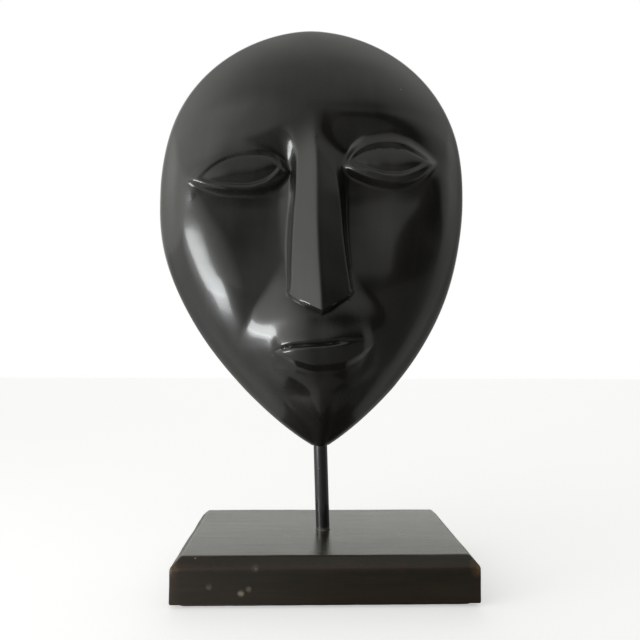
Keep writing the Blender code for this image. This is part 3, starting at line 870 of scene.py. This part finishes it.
def makeBoard(material):
    b = board
    form = blockForm(b["width"], b["depth"], b["thickness"], b["bottom"])
    top = b["bottom"] + b["thickness"]
    bevelWhere(form, lambda a, c: min(a.z, c.z) > (top - 0.001) * mm, b["chamfer"], 1)
    bevelWhere(form, lambda a, c: True, b["ease"], 3)
    over = 4
    recess, under = b["recessDepth"] - b["thickness"], -b["thickness"] - over
    bore = [(0, over), (b["boreRadius"], over), (b["boreRadius"], -b["shoulder"]),
            (b["boltRadius"], -b["shoulder"]), (b["boltRadius"], recess), (b["recessRadius"], recess),
            (b["recessRadius"], under), (0, under)]
    cutter = turnedForm(bore, 72)
    cutter.transform(standFrame)
    form = booleanMesh(form, cutter)
    for axis, half in ((0, b["width"] / 2), (1, b["depth"] / 2)):
        inner = half - b["chamfer"] - 1.6
        sliceForm(form, axis, list(np.linspace(-inner, inner, int(2 * inner / b["cell"]))))
    sliceForm(form, 2, np.linspace(b["bottom"] + 3, top - b["chamfer"] - 2.6, 5))
    mesh = meshOf(form, "standBoard", material, 32)
    place = positions(mesh)
    x, y, z = place.T
    fromBore = np.hypot(x, y)
    away = smoothStep((fromBore - 18) / 12)

    def wander(size, tall, step, start=0):
        # three independent noise values at each point
        return np.array([[noise.noise(Vector((px / size, py / size, pz / tall + k * step + start)))
                          for k in range(3)] for px, py, pz in place])

    drift, finer = wander(34, 22, 7.3), wander(9, 9, 3.1, 40)
    outX, outY = b["width"] / 2 - np.abs(x), b["depth"] / 2 - np.abs(y)
    sideGap = np.minimum(outX, outY)
    nearEdge = smoothStep(1 - (sideGap - b["chamfer"]) / 14)
    shift = (b["waver"] * drift + b["fineWaver"] * finer) * away[:, None] * (0.3 + 0.7 * nearEdge)[:, None]
    shift[:, 2] *= smoothStep((z - b["bottom"]) / 6)  # the underside stays flat on its felt
    mesh.vertices.foreach_set("co", ((place + shift) * mm).ravel())
    # how near each point lies to an outer edge
    corner = np.exp(-np.maximum(outX, outY) / 2.2)
    ridge = np.exp(-np.abs(sideGap - b["chamfer"]) / 1.4) * smoothStep((z - top + 1) / 1)
    shoulderLine = np.exp(-np.hypot(sideGap, z - (top - b["chamfer"])) / 1.6)
    foot = np.exp(-np.hypot(sideGap, z - b["bottom"]) / 1.6)
    paintAttribute(mesh, "wear", np.clip(np.maximum.reduce([corner, ridge, shoulderLine, 0.7 * foot]), 0, 1))
    print("board:", len(mesh.polygons), "faces")
    return addPiece("standBoard", mesh, "stand", "base_wood", "base")


felt = dict(width=186.0, depth=120.0, thickness=1.5, corner=6.0, cell=4.0, fuzz=0.12)


def makeFelt(material):
    f = felt
    form = blockForm(f["width"], f["depth"], f["thickness"], 0)
    bevelWhere(form, lambda a, c: abs(a.z - c.z) > 1 * mm, f["corner"], 8)
    for axis, half in ((0, f["width"] / 2), (1, f["depth"] / 2)):
        sliceForm(form, axis, np.arange(-half + f["cell"], half, f["cell"]))
    mesh = meshOf(form, "feltPad", material, 40)
    place = positions(mesh)
    rough = np.array([noise.noise(Vector((p[0] / 3.1, p[1] / 3.1, p[2] * 5))) for p in place])
    edge = np.minimum(f["width"] / 2 - np.abs(place[:, 0]), f["depth"] / 2 - np.abs(place[:, 1]))
    place[:, 2] = np.clip(place[:, 2] + f["fuzz"] * rough, 0, f["thickness"])
    atEdge = np.exp(-edge / 0.5)
    place[:, :2] *= 1 - 0.0022 * (atEdge * (0.5 + rough))[:, None]
    mesh.vertices.foreach_set("co", (place * mm).ravel())
    piece = addPiece("feltPad", mesh, "stand", "felt", "felt_pad")
    print("felt:", len(mesh.polygons), "faces")
    return piece


# heights along the rod are mm above the base's top face
rodShape = dict(radius=5.0, top=107.0, ease=1.0, shoulder=-7.0, spigotRadius=3.9, foot=-26.7)
threadShape = dict(pitch=1.25, depth=0.55, around=40, perTurn=8, clearance=0.06)
washerShape = dict(inner=4.2, outer=12.0, top=-14.5, thickness=1.6, ease=0.25)
springShape = dict(inner=4.2, outer=7.4, top=-16.4, thickness=2.0, slit=1.2, steps=90)
nutShape = dict(acrossFlats=13.0, top=-18.7, height=6.5, turn=11, ease=0.6, bore=4.2)


def threadTree():
    # a tube whose radius follows a helix: crests every pitch, run out at both ends
    inputs = {"Root Radius": 3.3, "Crest": 0.6, "Pitch": 1.25, "Low": 0.0, "High": 10.0, "Run Out": 1.0,
              "Around": 40, "Rows": 80, "Finish": "Material"}
    tree = newTree("helicalThread", "GeometryNodeTree", inputs, {"Geometry": "Geometry"})
    given = tree.nodes["in"].outputs
    grid = put(tree, "GeometryNodeMeshGrid", Size_X=1, Size_Y=1, Vertices_X=given["Around"],
               Vertices_Y=given["Rows"])
    place = put(tree, "ShaderNodeSeparateXYZ", i0=put(tree, "GeometryNodeInputPosition").outputs[0])
    u = calc(tree, "ADD", place.outputs[0], 0.5)
    v = calc(tree, "ADD", place.outputs[1], 0.5)
    length = calc(tree, "SUBTRACT", given["High"], given["Low"])
    height = calc(tree, "MULTIPLY_ADD", v, length, given["Low"])
    phase = calc(tree, "FRACT", calc(tree, "SUBTRACT", calc(tree, "DIVIDE", height, given["Pitch"]), u))
    fromCrest = calc(tree, "ABSOLUTE", calc(tree, "SUBTRACT", phase, 0.5))
    flank = held(tree, calc(tree, "SUBTRACT", 1.15, calc(tree, "MULTIPLY", fromCrest, 2.6)))
    fromLow = calc(tree, "DIVIDE", calc(tree, "SUBTRACT", height, given["Low"]), given["Run Out"])
    fromHigh = calc(tree, "DIVIDE", calc(tree, "SUBTRACT", given["High"], height), given["Run Out"])
    fade = calc(tree, "MINIMUM", calc(tree, "MINIMUM", fromLow, fromHigh), 1.0)
    thread = calc(tree, "MULTIPLY", flank, fade)
    radius = calc(tree, "MULTIPLY_ADD", thread, given["Crest"], given["Root Radius"])
    angle = calc(tree, "MULTIPLY", u, 2 * math.pi)
    spotAt = put(tree, "ShaderNodeCombineXYZ", i0=calc(tree, "MULTIPLY", radius, calc(tree, "COSINE", angle)),
                 i1=calc(tree, "MULTIPLY", radius, calc(tree, "SINE", angle)), i2=height)
    placed = put(tree, "GeometryNodeSetPosition", Geometry=grid.outputs[0], Position=spotAt.outputs[0])
    joined = put(tree, "GeometryNodeMergeByDistance", Geometry=placed.outputs[0], Distance=0.01)
    endTree(tree, joined.outputs[0])
    return tree


def grownForm(name, tree, values, material):
    mesh = growMesh(name, tree, values, material)
    form = formOf(mesh)
    bpy.data.meshes.remove(mesh)
    return form


def threadForm(tree, rootRadius, crest, low, high, runOut, material):
    t = threadShape
    rows = max(2, round((high - low) / t["pitch"] * t["perTurn"])) if crest else 2
    values = {"Root Radius": rootRadius, "Crest": crest, "Pitch": t["pitch"], "Low": low, "High": high,
              "Run Out": runOut, "Around": t["around"] + 1, "Rows": rows}
    form = grownForm("thread", tree, values, material)
    bmesh.ops.scale(form, vec=(mm, mm, mm), verts=form.verts)
    return form


def joinForms(first, second):
    mesh = bpy.data.meshes.new("joining")
    second.to_mesh(mesh)
    second.free()
    first.from_mesh(mesh)
    bpy.data.meshes.remove(mesh)
    return first


def nearCrease(mesh, reach, angle=30):
    # how near each point lies to a sharp edge, from 1 on it down to 0
    form = formOf(mesh)
    sharp = math.radians(angle)
    creases = [edge for edge in form.edges if len(edge.link_faces) == 2 and edge.calc_face_angle(0) > sharp]
    marks = {vert.index for edge in creases for vert in edge.verts}
    form.free()
    place = positions(mesh)
    if not marks:
        return np.zeros(len(place))
    spots = place[sorted(marks)]
    gap = np.array([np.sqrt(((spots - point) ** 2).sum(axis=1).min()) for point in place])
    return np.clip(1 - gap / reach, 0, 1)


def makeRod(tree, material):
    r, t = rodShape, threadShape
    profile = [(0, r["top"]), (r["radius"] - r["ease"], r["top"]), (r["radius"], r["top"] - r["ease"])]
    profile += [(r["radius"], height) for height in np.linspace(90, r["shoulder"] + 0.4, 30)]
    profile += [(r["radius"] - 0.4, r["shoulder"]), (0, r["shoulder"])]
    form = turnedForm(profile, 64)
    root = r["spigotRadius"] - t["depth"]
    screw = threadForm(tree, root, t["depth"], r["foot"], r["shoulder"] + 0.3, 1.2, material)
    bmesh.ops.holes_fill(screw, edges=[edge for edge in screw.edges if edge.is_boundary])
    bmesh.ops.recalc_face_normals(screw, faces=screw.faces)
    form = joinForms(form, screw)
    form.transform(standFrame)
    mesh = meshOf(form, "standRod", material, 35)
    along = np.array([(Vector(point) * mm - standFoot).dot(rodDirection) for point in positions(mesh)]) / mm
    foot = np.exp(-np.abs(along) / 1.5)
    chin = np.exp(-np.abs(along - maskShape["rodExposed"]) / 1.0)
    paintAttribute(mesh, "wear", np.clip(0.8 * foot + 0.5 * chin, 0, 1))
    print("rod:", len(mesh.polygons), "faces")
    return addPiece("standRod", mesh, "rod", "rod_finish", "rod")


def steelPiece(form, name, part, material):
    form.transform(standFrame)
    mesh = meshOf(form, name, material)
    paintAttribute(mesh, "wear", nearCrease(mesh, 0.6))
    print(part + ":", len(mesh.polygons), "faces")
    return addPiece(name, mesh, "rod", "fixing_steel", part)


def makeWasher(material):
    w = washerShape
    top, bottom, e = w["top"], w["top"] - w["thickness"], w["ease"]
    profile = [(w["inner"], top), (w["outer"] - e, top), (w["outer"], top - e), (w["outer"], bottom + e),
               (w["outer"] - e, bottom), (w["inner"] + e, bottom), (w["inner"], bottom + e),
               (w["inner"], top)]
    return steelPiece(turnedForm(profile, 72), "flatWasher", "washer", material)


def springTree():
    # a square bar bent round once, its two ends left apart
    inputs = {"Radius": 5.8, "Bar Width": 3.2, "Bar Height": 2.0, "Turn": 0.95, "Start": 0.0, "Steps": 90,
              "Finish": "Material"}
    tree = newTree("springRing", "GeometryNodeTree", inputs, {"Geometry": "Geometry"})
    given = tree.nodes["in"].outputs
    sweep = calc(tree, "MULTIPLY", given["Turn"], 2 * math.pi)
    arc = put(tree, "GeometryNodeCurveArc", {"mode": "RADIUS"}, Resolution=given["Steps"],
              Radius=given["Radius"], Start_Angle=given["Start"], Sweep_Angle=sweep)
    bar = put(tree, "GeometryNodeCurvePrimitiveQuadrilateral", {"mode": "RECTANGLE"},
              Width=given["Bar Width"], Height=given["Bar Height"])
    upright = put(tree, "GeometryNodeSetCurveNormal", {"mode": "Z_UP"}, i0=arc.outputs[0])
    swept = put(tree, "GeometryNodeCurveToMesh", i0=upright.outputs[0], Profile_Curve=bar.outputs[0],
                Fill_Caps=True)
    endTree(tree, swept.outputs[0])
    return tree


def makeSpring(material):
    s = springShape
    radius = (s["inner"] + s["outer"]) / 2
    gapShare = s["slit"] / (2 * math.pi * radius)
    values = {"Radius": radius, "Bar Width": s["outer"] - s["inner"] - 0.02,
              "Bar Height": s["thickness"] - 0.3, "Turn": 1 - gapShare,
              "Start": -math.pi / 2 + math.pi * gapShare, "Steps": s["steps"]}
    form = grownForm("springRing", springTree(), values, material)
    for vert in form.verts:  # one end stands a little higher than the other
        share = (math.atan2(vert.co.y, vert.co.x) + math.pi / 2) % (2 * math.pi) / (2 * math.pi)
        vert.co.z += s["top"] - s["thickness"] / 2 + 0.3 * (share - 0.5)
    bmesh.ops.scale(form, vec=(mm, mm, mm), verts=form.verts)
    bmesh.ops.remove_doubles(form, verts=form.verts, dist=0.002 * mm)
    bmesh.ops.recalc_face_normals(form, faces=form.faces)
    return steelPiece(form, "springWasher", "spring_washer", material)


def makeNut(tree, material):
    n, t = nutShape, threadShape
    cornerRadius = n["acrossFlats"] / 2 / math.cos(math.pi / 6)
    form = bmesh.new()
    bmesh.ops.create_cone(form, cap_ends=True, segments=6, radius1=cornerRadius * mm,
                          radius2=cornerRadius * mm, depth=n["height"] * mm)
    middle = Matrix.Translation((0, 0, (n["top"] - n["height"] / 2) * mm))
    form.transform(middle @ Matrix.Rotation(math.radians(n["turn"]), 4, "Z"))
    bottom, flat, e = n["top"] - n["height"], n["acrossFlats"] / 2, n["ease"]
    dome = [(0, n["top"] + 1), (flat - e - 1, n["top"] + 1), (cornerRadius + 1, n["top"] - e - 1),
            (cornerRadius + 1, bottom + e + 1), (flat - e - 1, bottom - 1), (0, bottom - 1)]
    form = booleanMesh(form, turnedForm(dome, 96), "INTERSECT")
    bore = [(0, n["top"] + 1), (n["bore"], n["top"] + 1), (n["bore"], bottom - 1), (0, bottom - 1)]
    form = booleanMesh(form, turnedForm(bore, 48))
    # the thread inside is a thin sleeve: a helical face within, a plain one let into the nut
    low, high = bottom + 0.15, n["top"] - 0.15
    root = rodShape["spigotRadius"] - t["depth"] + t["clearance"]
    sleeve = threadForm(tree, root, t["depth"], low, high, 0.9, material)
    sleeve = joinForms(sleeve, threadForm(tree, n["bore"] + 0.25, 0.0, low, high, 1.0, material))
    rims = [edge for edge in sleeve.edges if edge.is_boundary]
    halfWay = (low + high) / 2 * mm
    for upper in (True, False):
        ends = [edge for edge in rims if (edge.verts[0].co.z > halfWay) == upper]
        bmesh.ops.bridge_loops(sleeve, edges=ends)
    bmesh.ops.recalc_face_normals(sleeve, faces=sleeve.faces)
    return steelPiece(joinForms(form, sleeve), "hexNut", "hex_nut", material)


cameraPlace = dict(at=(-0.0152, -0.4507, 0.1546), turn=math.radians(1.6), pitch=math.radians(3.49),
                   roll=math.radians(-0.22), lens=34.31)


def makeCamera():
    c = cameraPlace
    camera = newObject("camera", bpy.data.cameras.new("camera"))
    camera.location = c["at"]
    turn = Matrix.Rotation(-c["turn"], 3, "Z") @ Matrix.Rotation(math.pi / 2 + c["pitch"], 3, "X")
    camera.rotation_euler = (turn @ Matrix.Rotation(-c["roll"], 3, "Z")).to_euler()
    camera.data.lens = c["lens"]
    camera.data.sensor_width = 36
    camera.data.clip_start = 0.01
    bpy.context.scene.camera = camera
    print("camera: lens", c["lens"])


studio = dict(
    seen=1.0,
    ambient=0.28,
    darkest=0.02,
    left=(0.42, 0.30, 0.95),  # how bright the left wall is, and where it starts and is full
    leftFront=(0.62, 0.52, 0.97),
    leftFrontTowards=(-0.8, -0.6, -0.05),
    above=(0.13, 0.15, 0.95),
    behind=(0.71, 0.70, 0.97),
    behindTowards=(0, 1, 0.27),
    darkSide=(0.36, 0.50, 0.86),
    darkTowards=(0.60, -0.72, -0.35),
    floorSeen=0.93,
    floorGlow=0.45,
    floorMirrored=0.50,
    floorShade=0.55,
    floorLeft=(-1.0, -0.15, 0.0),
    floorLit=(0.4, 0.98, 0.35),
    wall=(0.99, 1, 0.955, 1),
    daylight=(0.97, 1, 1),
    window=dict(place=(-0.67, -0.40, 0.095), aim=(0, -0.02, 0.2), size=(0.40, 0.165), power=2.3),
    lowWindow=dict(place=(-0.50, -0.33, 0.04), aim=(0, -0.02, 0.15), size=(0.26, 0.06), power=0.42),
)


def areaLight(name, place, aim, size, power, colour):
    data = bpy.data.lights.new(name, "AREA")
    data.shape = "RECTANGLE"
    data.size, data.size_y = size
    data.energy = power
    data.color = colour
    light = newObject(name, data)
    light.location = place
    light.visible_camera = False
    light.rotation_euler = (Vector(aim) - Vector(place)).to_track_quat("-Z", "Y").to_euler()


def towards(tree, direction, aim, fromLow, fromHigh, strength):
    # brightest where the direction points at the aim, fading smoothly away from it
    aim = Vector(aim).normalized()
    dot = put(tree, "ShaderNodeVectorMath", {"operation": "DOT_PRODUCT"}, i0=direction, i1=aim)
    return remap(tree, dot.outputs["Value"], 0, strength, fromLow, fromHigh, interpolation_type="SMOOTHSTEP")


def makeWorld():
    s = studio
    world = bpy.data.worlds.new("studio")
    world.use_nodes = True
    bpy.context.scene.world = world
    tree = world.node_tree
    tree.nodes.clear()
    direction = put(tree, "ShaderNodeTexCoord").outputs["Generated"]
    light = s["ambient"]
    for part, aim in (("left", (-1, 0, 0)), ("leftFront", s["leftFrontTowards"]), ("above", (0, 0, 1)),
                      ("behind", s["behindTowards"])):
        strength, fromLow, fromHigh = s[part]
        light = calc(tree, "ADD", towards(tree, direction, aim, fromLow, fromHigh, strength), light)
    dark, fromLow, fromHigh = s["darkSide"]
    shade = towards(tree, direction, s["darkTowards"], fromLow, fromHigh, dark)
    light = calc(tree, "MAXIMUM", calc(tree, "SUBTRACT", light, shade), s["darkest"])
    seen = put(tree, "ShaderNodeBackground", Color=(1, 1, 1, 1), Strength=s["seen"])
    room = put(tree, "ShaderNodeBackground", Color=s["wall"], Strength=light)
    ray = put(tree, "ShaderNodeLightPath")
    mix = put(tree, "ShaderNodeMixShader", i0=ray.outputs["Is Camera Ray"], i1=room.outputs[0],
              i2=seen.outputs[0])
    put(tree, "ShaderNodeOutputWorld", Surface=mix.outputs[0])


def makeFloor():
    # pale as seen, a little duller where the polish mirrors it
    s = studio
    bpy.ops.mesh.primitive_plane_add(size=8)
    floor = bpy.context.object
    floor.name = "paleFloor"
    floor.location.z = -0.3 * mm  # just clear of the felt
    material, tree, shader = newMaterial("paleFloor", 0.7, Specular_IOR_Level=0.1,
                                         Emission_Strength=s["floorGlow"])
    where = put(tree, "ShaderNodeTexCoord").outputs["Object"]
    outwards = put(tree, "ShaderNodeVectorMath", {"operation": "NORMALIZE"}, i0=where).outputs[0]
    _, fromLow, fromHigh = s["darkSide"]
    darkTowards = (*s["darkTowards"][:2], 0)
    shade = towards(tree, outwards, darkTowards, fromLow, fromHigh, s["floorShade"])
    mirrored = calc(tree, "MULTIPLY", calc(tree, "SUBTRACT", 1.0, shade), s["floorMirrored"])
    ray = put(tree, "ShaderNodeLightPath").outputs["Is Camera Ray"]
    grey = put(tree, "ShaderNodeMix", i0=ray, i2=mirrored, i3=s["floorSeen"]).outputs[0]
    lit = calc(tree, "MAXIMUM", ray, towards(tree, outwards, s["floorLeft"], *s["floorLit"]))
    for label, tone in (("Base_Color", grey), ("Emission_Color", lit)):
        plain = put(tree, "ShaderNodeCombineColor", i0=tone, i1=tone, i2=tone).outputs[0]
        fill(tree, shader, {label: plain})
    floor.data.materials.append(material)


makeCamera()
makeWorld()
makeFloor()
for name in ("window", "lowWindow"):
    areaLight(name, colour=studio["daylight"], **studio[name])
bpy.context.scene.view_settings.view_transform = "Standard"

print("studio: world, floor and", len(bpy.data.lights), "lights")

makeMask(maskFinish())
boardPiece = makeBoard(baseFinish())
makeFelt(feltFinish())
thread = threadTree()
makeRod(thread, rodFinish())
steel = steelFinish()
makeWasher(steel)
makeSpring(steel)
makeNut(thread, steel)
